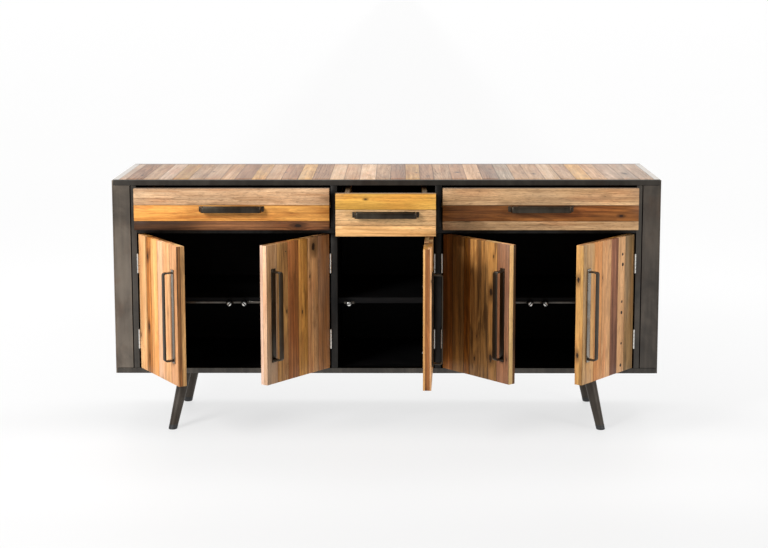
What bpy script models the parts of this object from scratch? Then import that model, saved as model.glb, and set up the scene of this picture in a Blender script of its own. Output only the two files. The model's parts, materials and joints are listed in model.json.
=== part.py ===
"""A sideboard buffet of reclaimed planks and dark steel: a steel-framed case on four splayed legs, with
three bays, five inset plank doors on butt hinges and three plank drawers that run on side battens.

Metres, +Z up, floor at z = 0, +Y to the back. At rest the doors stand ajar and the drawers are pulled out;
each door turns with an empty on its hinge axis, and each drawer hangs from an empty in its front's plane.
"""

import math

import bmesh
import bpy
from mathutils import Matrix, Vector

# Overall size
WIDTH = 1.800
DEPTH = 0.500
HEIGHT = 0.855
CASE_BOTTOM = 0.208  # the legs' height

# Gaps and thicknesses
GAP = 0.0003  # between pieces that touch
SHEET = 0.002  # folded steel sheet
TUBE_WALL = 0.0015
BOARD = 0.0175  # top, bottom, top and bottom rails
RIM = 0.020  # steel edge that shows round the plank top
LIP = 0.0045  # hemmed front edge of each side cover
LIP_DEPTH = 0.008
RECESS = 0.0012  # the side covers' front face lies this far behind the frame's
RAIL_DEPTH = 0.030
STILE = 0.018
SEAM = 0.003  # shadow gap between each stile and the side cover beside it
BACK_THICK = 0.008
BACK_FRONT = 0.478  # the back panel's front face, behind the case's front plane
OVERRUN = 0.010  # how far a cutter runs past what it cuts
SHARP_ANGLE = 35  # degrees, on round pieces

# Broken edges
TOP_BEVEL = 0.0008
BOARD_BEVEL = 0.0005
SHELF_BEVEL = 0.001
FACE_BEVEL = 0.001

# Bays, left to right: 639, 322 and 639 mm
DIVIDER = 0.021
SIDE_BAND = 0.079  # from the outer face to the first bay's opening
MIDDLE_BAY = 0.322
OPENING = WIDTH / 2 - SIDE_BAND
MIDDLE_HALF = MIDDLE_BAY / 2
DIVIDER_OUT = MIDDLE_HALF + DIVIDER
SIDE_CENTRE = (OPENING + DIVIDER_OUT) / 2
SIDE_BAY = OPENING - DIVIDER_OUT
COVER_INNER = OPENING + STILE + SEAM  # the inner wall of each side cover

# Heights
OPENING_TOP = HEIGHT - BOARD
OPENING_BOTTOM = CASE_BOTTOM + BOARD
DRAWER_RAIL_TOP = 0.697
DRAWER_RAIL_BOTTOM = 0.679
SHELF_TOP = 0.456
SHELF_THICK = 0.020
SHELF_FRONT = 0.045
SHELF_BACK = BACK_FRONT - 0.001

# Doors
FACE_THICK = 0.0265  # doors and drawer fronts
DOOR_BOTTOM = 0.2275
DOOR_TOP = 0.6765
HINGE_GAP = 0.003
MEETING_GAP = 0.004
MIDDLE_FREE_GAP = 0.002
SIDE_DOOR = (SIDE_BAY - 2 * HINGE_GAP - MEETING_GAP) / 2
MIDDLE_DOOR = MIDDLE_BAY - HINGE_GAP - MIDDLE_FREE_GAP
AXIS_FORWARD = 0.0036  # hinge axis, in front of the case's front plane
BARREL_RADIUS = 0.0032
HINGE_LENGTH = 0.064
HINGE_LEAF = 0.001
HINGE_LEAF_DEPTH = 0.020
LEAF_FRONT = -0.0026  # inside the barrel
LEAF_SHORT = 0.0002  # the leaf is this much shorter than the barrel at each end
BARREL_SIDES = 16
HINGE_INSET = 0.0975  # hinge centre from the door's top or bottom edge

# Drawers
DRAWER_BOTTOM = 0.699
DRAWER_TOP = 0.8355
DRAWER_SIDE_GAP = 0.002
BOX_INSET = 0.026  # from the front's edge to the box's side
BOX_SIDE = 0.015
BOX_BOTTOM = 0.712
BOX_TOP = 0.825
BOX_FLOOR = 0.006
BOX_BACK = 0.450
GROOVE_BOTTOM = 0.757
GROOVE_TOP = 0.777
GROOVE_DEPTH = 0.007
GROOVE_FRONT = 0.0425
RUNNER_FRONT = 0.045
RUNNER_BOTTOM = 0.7585
RUNNER_END_GAP = 0.0005

# Bar handles: a flat bar bent to a U, welded on a longer back strip
HANDLE_WIDTH = 0.018
HANDLE_BAR = 0.004
HANDLE_REACH = 0.0355
HANDLE_BEND = 0.009
STRIP_PAST = 0.0075  # strip's length past the U at each end
DOOR_STRIP = 0.302
DRAWER_STRIP = 0.211
HANDLE_INSET = 0.0315  # from a door's free edge to the handle's centre line
DOOR_HANDLE_Z = 0.449
DRAWER_HANDLE_Z = 0.769

# Legs
FOOT_X = {"front": 0.724, "rear": 0.7195}  # from the middle
FOOT_Y = {"front": 0.064, "rear": 0.051}  # in from the case's front and back
SPLAY = 0.045
LEG_TOP_RADIUS = 0.0218
LEG_FOOT_RADIUS = 0.0144
GLIDE_HEIGHT = 0.016
PLATE_SIZE = 0.080
PLATE_THICK = 0.004
GLIDE_PROUD = 0.0004  # the glide is this much thicker than the leg, all round
GLIDE_EDGE = 0.0015  # height of the rounding at its underside
LEG_SIDES = 32

# Doors, left to right: opening edge that the hinges sit on, direction from hinge to free edge, width and
# how far the door stands open at rest, in degrees
DOORS = (
    ("door_1", -OPENING, 1, SIDE_DOOR, 59.3),
    ("door_2", -DIVIDER_OUT, -1, SIDE_DOOR, 53.2),
    ("door_3", MIDDLE_HALF, -1, MIDDLE_DOOR, 87.8),
    ("door_4", DIVIDER_OUT, 1, SIDE_DOOR, 49.5),
    ("door_5", OPENING, -1, SIDE_DOOR, 52.0),
)

# Drawers, left to right: centre, bay width, how far it is pulled out at rest
DRAWERS = (
    ("drawer_1", -SIDE_CENTRE, SIDE_BAY, 0.068),
    ("drawer_2", 0.0, MIDDLE_BAY, 0.201),
    ("drawer_3", SIDE_CENTRE, SIDE_BAY, 0.066),
)

# The origin lies on the floor below the middle of the whole object as it stands, open doors included, so
# the case's front plane lies forward of it by half of what the depth exceeds the third door's reach
DOOR_REACH = AXIS_FORWARD + (HINGE_GAP / 2 + MIDDLE_DOOR) * math.sin(math.radians(DOORS[2][4]))
FRONT_Y = (DOOR_REACH - DEPTH) / 2

for old in list(bpy.data.objects):
    bpy.data.objects.remove(old, do_unlink=True)


def material(name, colour, roughness, metallic=0.0):
    made = bpy.data.materials.new(name)
    made.use_nodes = True
    shader = made.node_tree.nodes["Principled BSDF"]
    shader.inputs["Base Color"].default_value = (*colour, 1.0)
    shader.inputs["Roughness"].default_value = roughness
    shader.inputs["Metallic"].default_value = metallic
    return made


STEEL = material("patinated_steel", (0.075, 0.068, 0.060), 0.45, 0.7)
HANDLE_STEEL = material("handle_steel", (0.055, 0.050, 0.046), 0.42, 0.75)
PLANK_TOP = material("weathered_plank", (0.52, 0.42, 0.33), 0.6)
PLANK_FACE = material("reclaimed_plank", (0.50, 0.30, 0.14), 0.55)
DRAWER_WOOD = material("drawer_wood", (0.66, 0.50, 0.32), 0.6)
BLACK_BOARD = material("black_board", (0.012, 0.011, 0.011), 0.6)
NICKEL = material("nickel", (0.72, 0.71, 0.69), 0.28, 1.0)
GLIDE = material("glide_plastic", (0.015, 0.015, 0.015), 0.5)


def empty(name, location, parent=None, turn=0.0):
    made = bpy.data.objects.new(name, None)
    made.empty_display_size = 0.05
    made.location = location
    made.rotation_euler = (0.0, 0.0, turn)
    made.parent = parent
    bpy.context.scene.collection.objects.link(made)
    return made


CASE = empty("case_front_centre", (0.0, FRONT_Y, 0.0))


def place(name, mesh, look, parent=CASE, location=(0.0, 0.0, 0.0), rotation=(0.0, 0.0, 0.0)):
    made = bpy.data.objects.new(name, mesh)
    made.location = location
    made.rotation_euler = rotation
    made.parent = parent
    if not mesh.materials:
        mesh.materials.append(look)
    bpy.context.scene.collection.objects.link(made)
    return made


def box_mesh(name, size):
    bm = bmesh.new()
    bmesh.ops.create_cube(bm, size=1.0, matrix=Matrix.Diagonal((*size, 1.0)))
    mesh = bpy.data.meshes.new(name)
    bm.to_mesh(mesh)
    bm.free()
    return mesh


def block(name, low, high, look, parent=CASE, bevel=0.0):
    """A box between two corners in its parent's frame, with its origin at its centre."""
    low, high = Vector(low), Vector(high)
    made = place(name, box_mesh(name, high - low), look, parent, (low + high) / 2)
    if bevel:
        edge = made.modifiers.new("edge", "BEVEL")
        edge.width = bevel
        edge.segments = 1
        edge.limit_method = "ANGLE"
    return made


def join_boolean(made, helper, operation):
    """Adds a helper to an object or cuts it from it, and leaves the helper out of the render."""
    helper.hide_render = True
    helper.display_type = "WIRE"
    boolean = made.modifiers.new(helper.name, "BOOLEAN")
    boolean.operation = operation
    boolean.object = helper


def weld_on(made, helper):
    join_boolean(made, helper, "UNION")


def combined(name, boxes, cuts, look, parent=CASE):
    """The union of some boxes, less some others, as one solid. Each box is a pair of corners."""
    made = block(name, *boxes[0], look, parent)
    jobs = [("UNION", pair) for pair in boxes[1:]] + [("DIFFERENCE", pair) for pair in cuts]
    for number, (operation, pair) in enumerate(jobs):
        join_boolean(made, block(f"{name}_helper_{number}", *pair, look, parent), operation)
    return made


def square_tube(name, axis, low, high, look=STEEL, parent=CASE):
    """A rectangular tube with open ends, running along one axis between two corners."""
    low, high = Vector(low), Vector(high)
    middle = (low + high) / 2
    half = (high - low) / 2
    across = [i for i in range(3) if i != axis]
    bm = bmesh.new()
    rings = []
    for wall in (0.0, TUBE_WALL):
        for end in (-1, 1):
            ring = []
            for a, b in ((-1, -1), (1, -1), (1, 1), (-1, 1)):
                point = [0.0, 0.0, 0.0]
                point[axis] = end * half[axis]
                point[across[0]] = a * (half[across[0]] - wall)
                point[across[1]] = b * (half[across[1]] - wall)
                ring.append(bm.verts.new(point))
            rings.append(ring)
    outer_start, outer_end, inner_start, inner_end = rings
    for first, second in ((outer_start, outer_end), (inner_end, inner_start),
                          (inner_start, outer_start), (outer_end, inner_end)):
        for i in range(4):
            j = (i + 1) % 4
            bm.faces.new((first[i], first[j], second[j], second[i]))
    bmesh.ops.recalc_face_normals(bm, faces=bm.faces)
    mesh = bpy.data.meshes.new(name)
    bm.to_mesh(mesh)
    bm.free()
    return place(name, mesh, look, parent, middle)


def smooth(mesh):
    mesh.shade_smooth()
    mesh.set_sharp_from_angle(angle=math.radians(SHARP_ANGLE))


def loft(name, rings, look, parent=CASE, segments=LEG_SIDES):
    """A closed solid through level circles, each given as (centre x, centre y, z, radius)."""
    bm = bmesh.new()
    loops = []
    for x, y, z, radius in rings:
        circle = []
        for i in range(segments):
            turn = math.tau * i / segments
            circle.append(bm.verts.new((x + radius * math.cos(turn), y + radius * math.sin(turn), z)))
        loops.append(circle)
    for low, high in zip(loops, loops[1:]):
        for i in range(segments):
            j = (i + 1) % segments
            bm.faces.new((low[i], low[j], high[j], high[i]))
    bm.faces.new(list(reversed(loops[0])))
    bm.faces.new(loops[-1])
    bmesh.ops.recalc_face_normals(bm, faces=bm.faces)
    mesh = bpy.data.meshes.new(name)
    bm.to_mesh(mesh)
    bm.free()
    smooth(mesh)
    return place(name, mesh, look, parent)


# Steel frame

def make_frame():
    rail_end = WIDTH / 2 - LIP - GAP
    square_tube("front_top_rail", 0, (-rail_end, 0.0, OPENING_TOP), (rail_end, RIM, HEIGHT))
    square_tube("front_bottom_rail", 0, (-rail_end, 0.0, CASE_BOTTOM),
                (rail_end, RAIL_DEPTH, OPENING_BOTTOM))
    rear_end = WIDTH / 2 - SHEET - GAP
    square_tube("rear_top_rail", 0, (-rear_end, DEPTH - RIM, OPENING_TOP), (rear_end, DEPTH, HEIGHT))
    square_tube("drawer_rail", 0, (-OPENING + GAP, 0.0, DRAWER_RAIL_BOTTOM),
                (OPENING - GAP, RAIL_DEPTH, DRAWER_RAIL_TOP))
    for name, side in (("left", -1), ("right", 1)):
        edges = sorted((side * OPENING, side * (OPENING + STILE)))
        square_tube(f"{name}_stile", 2, (edges[0], 0.0, OPENING_BOTTOM + GAP),
                    (edges[1], RAIL_DEPTH, OPENING_TOP - GAP))


def side_box(side, x_in, x_out, y_front, y_back, z_low, z_high):
    edges = sorted((side * x_in, side * x_out))
    return (edges[0], y_front, z_low), (edges[1], y_back, z_high)


def make_side_covers():
    """Each cover is sheet folded round the case's end: outer wall, front face, inner wall and top rim."""
    outer = WIDTH / 2
    mid = outer - SHEET / 2
    low = OPENING_BOTTOM + GAP
    high = OPENING_TOP - GAP
    inner_back = BACK_FRONT - GAP
    for name, side in (("left", -1), ("right", 1)):
        combined(f"{name}_side_cover", (
            side_box(side, outer - SHEET, outer, 0.0, DEPTH, CASE_BOTTOM, HEIGHT),
            side_box(side, outer - LIP, outer, 0.0, LIP_DEPTH, CASE_BOTTOM, HEIGHT),
            side_box(side, outer - RIM, mid, RIM + GAP, DEPTH - RIM - GAP, HEIGHT - SHEET, HEIGHT),
            side_box(side, COVER_INNER, mid, RECESS, RECESS + SHEET, low, high),
            side_box(side, COVER_INNER, COVER_INNER + SHEET, RECESS, inner_back, low, high),
        ), (), STEEL)


# Boards of the case

def make_boards():
    inside = WIDTH / 2 - SHEET - GAP
    top_half = WIDTH / 2 - RIM - GAP
    low = OPENING_BOTTOM + GAP
    high = OPENING_TOP - GAP
    block("plank_top", (-top_half, RIM + GAP, OPENING_TOP), (top_half, DEPTH - RIM - GAP, HEIGHT),
          PLANK_TOP, bevel=TOP_BEVEL)
    block("bottom_board", (-inside, RAIL_DEPTH + GAP, CASE_BOTTOM), (inside, DEPTH - GAP, OPENING_BOTTOM),
          BLACK_BOARD, bevel=BOARD_BEVEL)
    block("back_panel", (-inside, BACK_FRONT, low), (inside, BACK_FRONT + BACK_THICK, high), BLACK_BOARD)
    notch_low = DRAWER_RAIL_BOTTOM - GAP
    notch_high = DRAWER_RAIL_TOP + GAP
    for name, side in (("left", -1), ("right", 1)):
        board = side_box(side, MIDDLE_HALF, DIVIDER_OUT, 0.0, BACK_FRONT - GAP, low, high)
        notch = side_box(side, MIDDLE_HALF - OVERRUN, DIVIDER_OUT + OVERRUN, -OVERRUN, RAIL_DEPTH + GAP,
                         notch_low, notch_high)
        combined(f"{name}_divider", (board,), (notch,), BLACK_BOARD)
    spans = (
        ("left_shelf", -COVER_INNER + GAP, -DIVIDER_OUT - GAP),
        ("middle_shelf", -MIDDLE_HALF + GAP, MIDDLE_HALF - GAP),
        ("right_shelf", DIVIDER_OUT + GAP, COVER_INNER - GAP),
    )
    for name, x_low, x_high in spans:
        block(name, (x_low, SHELF_FRONT, SHELF_TOP - SHELF_THICK), (x_high, SHELF_BACK, SHELF_TOP),
              BLACK_BOARD, bevel=SHELF_BEVEL)


# Legs

def make_legs():
    """Tapered tubes that splay outwards both ways from a mounting plate to a plastic glide."""
    plate_top = CASE_BOTTOM - GAP
    plate_low = plate_top - PLATE_THICK
    for x_name, x_side in (("left", -1), ("right", 1)):
        for y_name, y_side in (("front", -1), ("rear", 1)):
            foot_x = FOOT_X[y_name]
            foot_y = DEPTH / 2 + y_side * (DEPTH / 2 - FOOT_Y[y_name])

            def ring(z, spare=0.0, x_side=x_side, y_side=y_side, foot_x=foot_x, foot_y=foot_y):
                """The leg's level circle at a height: centre, height and radius."""
                share = z / CASE_BOTTOM
                x = x_side * (foot_x - SPLAY * share)
                y = foot_y - y_side * SPLAY * share
                radius = LEG_FOOT_RADIUS + (LEG_TOP_RADIUS - LEG_FOOT_RADIUS) * share + spare
                return x, y, z, radius

            name = f"{y_name}_{x_name}_leg"
            leg = loft(name, (ring(GLIDE_HEIGHT + GAP), ring(plate_low + PLATE_THICK / 2)), STEEL)
            x, y = ring(CASE_BOTTOM)[:2]
            half = PLATE_SIZE / 2
            weld_on(leg, block(f"{name}_plate", (x - half, y - half, plate_low),
                               (x + half, y + half, plate_top), STEEL))
            loft(f"{y_name}_{x_name}_glide",
                 (ring(0.0, GLIDE_PROUD - GLIDE_EDGE), ring(GLIDE_EDGE, GLIDE_PROUD),
                  ring(GLIDE_HEIGHT, GLIDE_PROUD)), GLIDE)


# Handles

def arc(centre, radius, start, end, steps=5):
    """Points on a circle from one angle to another, in degrees."""
    points = []
    for i in range(steps + 1):
        angle = math.radians(start + (end - start) * i / steps)
        points.append((centre[0] + radius * math.cos(angle), centre[1] + radius * math.sin(angle)))
    return points


def handle_mesh(name, strip_length):
    """A U-bar on its back strip, along X, standing out to -Y from a face at y = 0, as one welded solid."""
    half = strip_length / 2 - STRIP_PAST
    foot = -HANDLE_BAR / 2
    bend = half - HANDLE_BEND
    turn = -HANDLE_REACH + HANDLE_BEND
    inner = HANDLE_BEND - HANDLE_BAR
    outline = [(-half, foot)]
    outline += arc((-bend, turn), HANDLE_BEND, 180, 270)
    outline += arc((bend, turn), HANDLE_BEND, 270, 360)
    outline += [(half, foot), (half - HANDLE_BAR, foot)]
    outline += arc((bend, turn), inner, 360, 270)
    outline += arc((-bend, turn), inner, 270, 180)
    outline += [(-half + HANDLE_BAR, foot)]
    bm = bmesh.new()
    face = bm.faces.new([bm.verts.new((x, y, -HANDLE_WIDTH / 2)) for x, y in outline])
    grown = bmesh.ops.extrude_face_region(bm, geom=[face])
    moved = [item for item in grown["geom"] if isinstance(item, bmesh.types.BMVert)]
    bmesh.ops.translate(bm, vec=(0.0, 0.0, HANDLE_WIDTH), verts=moved)
    bmesh.ops.recalc_face_normals(bm, faces=bm.faces)
    mesh = bpy.data.meshes.new(name + "_bar")
    bm.to_mesh(mesh)
    bm.free()
    bar = place(name + "_bar", mesh, HANDLE_STEEL, None)
    strip = block(name + "_strip", (-strip_length / 2, -HANDLE_BAR - GAP, -HANDLE_WIDTH / 2 - GAP),
                  (strip_length / 2, -GAP, HANDLE_WIDTH / 2 + GAP), HANDLE_STEEL, None)
    weld_on(bar, strip)
    bpy.context.view_layer.update()
    graph = bpy.context.evaluated_depsgraph_get()
    welded = bpy.data.meshes.new_from_object(bar.evaluated_get(graph))
    welded.name = name
    smooth(welded)
    for helper in (bar, strip):
        bpy.data.objects.remove(helper, do_unlink=True)
    return welded


# Doors

def make_hinge(name, edge, direction, axis_x, centre_z):
    """The leaf that is screwed to the frame, with the barrel and pin on the hinge's axis."""
    ends = (centre_z - HINGE_LENGTH / 2, centre_z + HINGE_LENGTH / 2)
    barrel = loft(name, [(axis_x, -AXIS_FORWARD, z, BARREL_RADIUS) for z in ends], NICKEL,
                  segments=BARREL_SIDES)
    sides = sorted((edge + direction * GAP, edge + direction * (GAP + HINGE_LEAF)))
    weld_on(barrel, block(name + "_leaf", (sides[0], LEAF_FRONT, ends[0] + LEAF_SHORT),
                          (sides[1], HINGE_LEAF_DEPTH, ends[1] - LEAF_SHORT), NICKEL))


def make_doors():
    handle = handle_mesh("door_handle", DOOR_STRIP)
    for name, edge, direction, width, ajar in DOORS:
        axis_x = edge + direction * HINGE_GAP / 2
        pivot = empty(f"{name}_hinge_axis", (axis_x, -AXIS_FORWARD, 0.0), CASE,
                      -direction * math.radians(ajar))
        start = HINGE_GAP / 2
        ends = sorted((direction * start, direction * (start + width)))
        block(name, (ends[0], AXIS_FORWARD, DOOR_BOTTOM), (ends[1], AXIS_FORWARD + FACE_THICK, DOOR_TOP),
              PLANK_FACE, pivot, bevel=FACE_BEVEL)
        place(f"{name}_handle", handle, HANDLE_STEEL, pivot,
              (direction * (start + width - HANDLE_INSET), AXIS_FORWARD, DOOR_HANDLE_Z),
              (0.0, math.radians(90), 0.0))
        make_hinge(f"{name}_upper_hinge", edge, direction, axis_x, DOOR_TOP - HINGE_INSET)
        make_hinge(f"{name}_lower_hinge", edge, direction, axis_x, DOOR_BOTTOM + HINGE_INSET)


# Drawers

def make_drawers():
    handle = handle_mesh("drawer_handle", DRAWER_STRIP)
    for name, centre, bay, pulled in DRAWERS:
        front_half = bay / 2 - DRAWER_SIDE_GAP
        half = front_half - BOX_INSET
        slide = empty(f"{name}_slide", (centre, -pulled, 0.0), CASE)
        block(f"{name}_front", (-front_half, 0.0, DRAWER_BOTTOM), (front_half, FACE_THICK, DRAWER_TOP),
              PLANK_FACE, slide, bevel=FACE_BEVEL)
        outer = ((-half, FACE_THICK + GAP, BOX_BOTTOM), (half, BOX_BACK, BOX_TOP))
        inside = ((-half + BOX_SIDE, FACE_THICK + GAP + BOX_SIDE, BOX_BOTTOM + 2 * BOX_FLOOR),
                  (half - BOX_SIDE, BOX_BACK - BOX_SIDE, BOX_TOP + OVERRUN))
        under = ((-half + BOX_SIDE, FACE_THICK + GAP + BOX_SIDE, BOX_BOTTOM - OVERRUN),
                 (half - BOX_SIDE, BOX_BACK - BOX_SIDE, BOX_BOTTOM + BOX_FLOOR))
        grooves = [((side * half - GROOVE_DEPTH, GROOVE_FRONT, GROOVE_BOTTOM),
                    (side * half + GROOVE_DEPTH, BOX_BACK + OVERRUN, GROOVE_TOP)) for side in (-1, 1)]
        combined(f"{name}_box", (outer,), (inside, under, *grooves), DRAWER_WOOD, slide)
        place(f"{name}_handle", handle, HANDLE_STEEL, slide, (0.0, 0.0, DRAWER_HANDLE_Z))


def make_runners():
    """Battens that the grooves in the drawers' sides run on, fixed to the covers and dividers."""
    for name, centre, bay, _pulled in DRAWERS:
        tongue = bay / 2 - DRAWER_SIDE_GAP - BOX_INSET - GROOVE_DEPTH + RUNNER_END_GAP
        for side_name, side in (("left", -1), ("right", 1)):
            wall = MIDDLE_HALF
            if centre:
                toward_middle = side * centre < 0
                wall = SIDE_BAY / 2 if toward_middle else COVER_INNER - abs(centre)
            ends = sorted((centre + side * tongue, centre + side * (wall - GAP)))
            block(f"{name}_{side_name}_runner", (ends[0], RUNNER_FRONT, RUNNER_BOTTOM),
                  (ends[1], BACK_FRONT - GAP, GROOVE_TOP - GAP), DRAWER_WOOD)


make_frame()
make_side_covers()
make_boards()
make_legs()
make_doors()
make_drawers()
make_runners()
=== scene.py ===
"""The sideboard's looks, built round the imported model: planks of mixed reclaimed wood, patinated steel,
nickel butt hinges, magnetic catches, drawer boxes of boards, and a plain studio. Metres."""

import json
import math
import random

import bmesh
import bpy
from mathutils import Matrix, Vector


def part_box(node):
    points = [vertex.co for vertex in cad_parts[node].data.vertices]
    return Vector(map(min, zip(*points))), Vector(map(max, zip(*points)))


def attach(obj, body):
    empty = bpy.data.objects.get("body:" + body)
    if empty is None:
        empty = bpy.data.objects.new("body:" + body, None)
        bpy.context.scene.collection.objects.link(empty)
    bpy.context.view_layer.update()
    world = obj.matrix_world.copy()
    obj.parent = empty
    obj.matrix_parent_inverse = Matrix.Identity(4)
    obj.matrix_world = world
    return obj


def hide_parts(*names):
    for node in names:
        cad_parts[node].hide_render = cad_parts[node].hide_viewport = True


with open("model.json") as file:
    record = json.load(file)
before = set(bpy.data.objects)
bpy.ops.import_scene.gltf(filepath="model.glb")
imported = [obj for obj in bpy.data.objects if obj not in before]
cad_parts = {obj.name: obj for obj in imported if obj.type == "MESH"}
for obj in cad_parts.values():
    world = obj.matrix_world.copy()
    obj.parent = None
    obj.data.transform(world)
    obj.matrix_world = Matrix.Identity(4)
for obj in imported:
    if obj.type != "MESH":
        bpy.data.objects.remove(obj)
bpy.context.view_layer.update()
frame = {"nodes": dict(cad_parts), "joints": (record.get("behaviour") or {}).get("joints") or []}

NODES = frame["nodes"]
JOINTS = {joint["child"]: joint for joint in frame["joints"]}
FRONT_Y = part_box("front_top_rail")[0].y  # the case's front plane
SHELF_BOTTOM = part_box("left_shelf")[0].z
DOOR_NAMES = [f"door_{number}" for number in range(1, 6)]
DRAWER_NAMES = [f"drawer_{number}" for number in range(1, 4)]
CORNERS = [f"{y_name}_{x_name}" for y_name in ("front", "rear") for x_name in ("left", "right")]
RIGHT_ANGLE = math.radians(90)
MM = 0.001


# Colours

def tone(code):
    """A six-digit screen colour as linear red, green and blue."""
    parts = [int(code[i:i + 2], 16) / 255 for i in (0, 2, 4)]
    return tuple(part / 12.92 if part <= 0.04045 else ((part + 0.055) / 1.055) ** 2.4 for part in parts)


# Each wood's pale and deep colour
WOODS = {
    "butter": ("f4bd84", "d6955a"),
    "corn": ("efb06c", "d2894a"),
    "orange": ("ca823c", "7e451e"),
    "cream": ("efbc92", "c38a62"),
    "peach": ("e2ae79", "ba8352"),
    "rose": ("d89f6e", "b0774b"),
    "cocoa": ("87582b", "4a2d14"),
    "tan": ("b58a56", "7e5832"),
    "sienna": ("b77f4d", "835832"),
    "chestnut": ("d49e66", "93683f"),
    "amber": ("c18a42", "86592a"),
    "rust": ("9b6134", "69401f"),
    "olive": ("b5864c", "7a5430"),
    "sand": ("b2895f", "7c5939"),
    "ivory": ("d9b18f", "c08f6b"),
    "pearl": ("e1c2ab", "c79d82"),
    "walnut": ("834f21", "44290f"),
    "umber": ("8f6432", "54391c"),
    "teak": ("804e16", "40240c"),
    "gold": ("e0a45c", "a8703a"),
    "russet": ("986848", "643f2a"),
    "moss": ("98764a", "624a2b"),
    "apricot": ("cfa072", "a0744c"),
    "mauve": ("96644a", "643f2c"),
    "bisque": ("d09e6e", "aa774b"),
    "copper": ("d8985c", "a4683a"),
    "fawn": ("cc9b5f", "986a3a"),
    "dune": ("c89e69", "92704a"),
    "honey": ("d8b276", "b28352"),
    "resin": ("d2a05c", "ab7a46"),
    "wheat": ("d3ae88", "a47a54"),
    "tangerine": ("ecaa56", "b87434"),
    "ember": ("8c5c38", "5a3820"),
    "mustard": ("d3a04a", "a6782e"),
    "straw": ("cba575", "a27a4c"),
    "oat": ("dcab72", "b3824c"),
    "hay": ("c29d74", "93704c"),
    "brick": ("8e5829", "5c3414"),
    "top_ash": ("c1a186", "90755e"),
    "top_bark": ("9c6f4a", "704b2f"),
    "top_fawn": ("bb9571", "8c6847"),
    "top_blush": ("c89e76", "9c724a"),
    "top_straw": ("c99a5b", "9c6f39"),
    "top_clay": ("aa7d56", "7a5334"),
    "top_milk": ("dab794", "b88f63"),
    "top_grey": ("b9a085", "8a7662"),
    "box_pine": ("dcb683", "b98b55"),
}


# Node materials

class Look:
    """A node material under construction. A method takes sockets or numbers and returns a socket. Its noise
    lies in the object's own place, or in a place that the mesh stores for each vertex."""

    def __init__(self, name, stored_place=None, **fixed):
        self.material = bpy.data.materials.new(name)
        self.material.use_nodes = True
        self.tree = self.material.node_tree
        self.shader = self.tree.nodes["Principled BSDF"]
        for socket, value in fixed.items():
            self.shader.inputs[socket.replace("_", " ")].default_value = value
        if stored_place:
            self.place = self.attribute(stored_place)
        else:
            self.place = self.node("ShaderNodeTexCoord", {}, "Object")

    def put(self, socket, value):
        if isinstance(value, bpy.types.NodeSocket):
            self.tree.links.new(value, socket)
        else:
            socket.default_value = value

    def node(self, kind, inputs, output=0, **settings):
        made = self.tree.nodes.new(kind)
        for setting, value in settings.items():
            setattr(made, setting, value)
        for key, value in inputs.items():
            self.put(made.inputs[key], value)
        return made.outputs[output]

    def finish(self, **sockets):
        for socket, value in sockets.items():
            self.put(self.shader.inputs[socket.replace("_", " ")], value)
        return self.material

    def attribute(self, name, output="Vector"):
        return self.node("ShaderNodeAttribute", {}, output, attribute_name=name)

    def parts(self, vector):
        split = self.tree.nodes.new("ShaderNodeSeparateXYZ")
        self.put(split.inputs[0], vector)
        return split.outputs

    def join(self, x, y, z=0.0):
        return self.node("ShaderNodeCombineXYZ", {0: x, 1: y, 2: z})

    def math(self, operation, first, second=0.0, third=0.0, clamp=False):
        inputs = {0: first, 1: second, 2: third}
        return self.node("ShaderNodeMath", inputs, operation=operation, use_clamp=clamp)

    def times(self, first, second, clamp=False):
        return self.math("MULTIPLY", first, second, clamp=clamp)

    def line(self, value, slope, start, clamp=False):
        """A value times a slope, plus a start."""
        return self.math("MULTIPLY_ADD", value, slope, start, clamp)

    def length(self, x, y):
        return self.node("ShaderNodeVectorMath", {0: self.join(x, y)}, "Value", operation="LENGTH")

    def stretched(self, scale):
        return self.node("ShaderNodeVectorMath", {0: self.place, 1: scale}, operation="MULTIPLY")

    def noise(self, scale, detail=2.0, rough=0.5, twist=0.0):
        """Noise from 0 to 1, with its own scale along each axis."""
        inputs = {"Vector": self.stretched(scale), "Scale": 1.0, "Detail": detail,
                  "Roughness": rough, "Distortion": twist}
        return self.node("ShaderNodeTexNoise", inputs)

    def step(self, value, low, high, first=0.0, last=1.0):
        """A smooth step from one level to another between two values."""
        inputs = {"Value": value, "From Min": low, "From Max": high, "To Min": first, "To Max": last}
        return self.node("ShaderNodeMapRange", inputs, interpolation_type="SMOOTHSTEP")

    def patches(self, scale, low, high, detail=2.0, rough=0.5, twist=0.0, first=0.0, last=1.0):
        """Noise, cut by a smooth step."""
        return self.step(self.noise(scale, detail, rough, twist), low, high, first, last)

    def mix(self, share, first, second, blend="MIX"):
        first = (*first, 1.0) if isinstance(first, tuple) else first
        second = (*second, 1.0) if isinstance(second, tuple) else second
        return self.node("ShaderNodeMix", {0: share, 6: first, 7: second}, 2, data_type="RGBA",
                         blend_type=blend)

    def cover(self, colour, mask, amount, top):
        """A colour with another laid over it, by an amount, where a mask is 1."""
        return self.mix(self.times(mask, amount, clamp=True), colour, top)

    def shade(self, colour, share):
        """A colour times a number."""
        return self.node("ShaderNodeVectorMath", {0: colour, 3: share}, operation="SCALE")

    def bump(self, height, distance, strength=1.0):
        return self.node("ShaderNodeBump", {"Height": height, "Distance": distance, "Strength": strength})


BLACK_DIRT = (0.014, 0.007, 0.004)
WEATHERED = (0.27, 0.235, 0.195)
# Pale colour laid on faces that look upwards: a painted reflection of the bright studio
PAINTED_SHEEN_COLOUR = (0.66, 0.61, 0.55)
RING = 0.0058  # distance between growth rings


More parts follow.
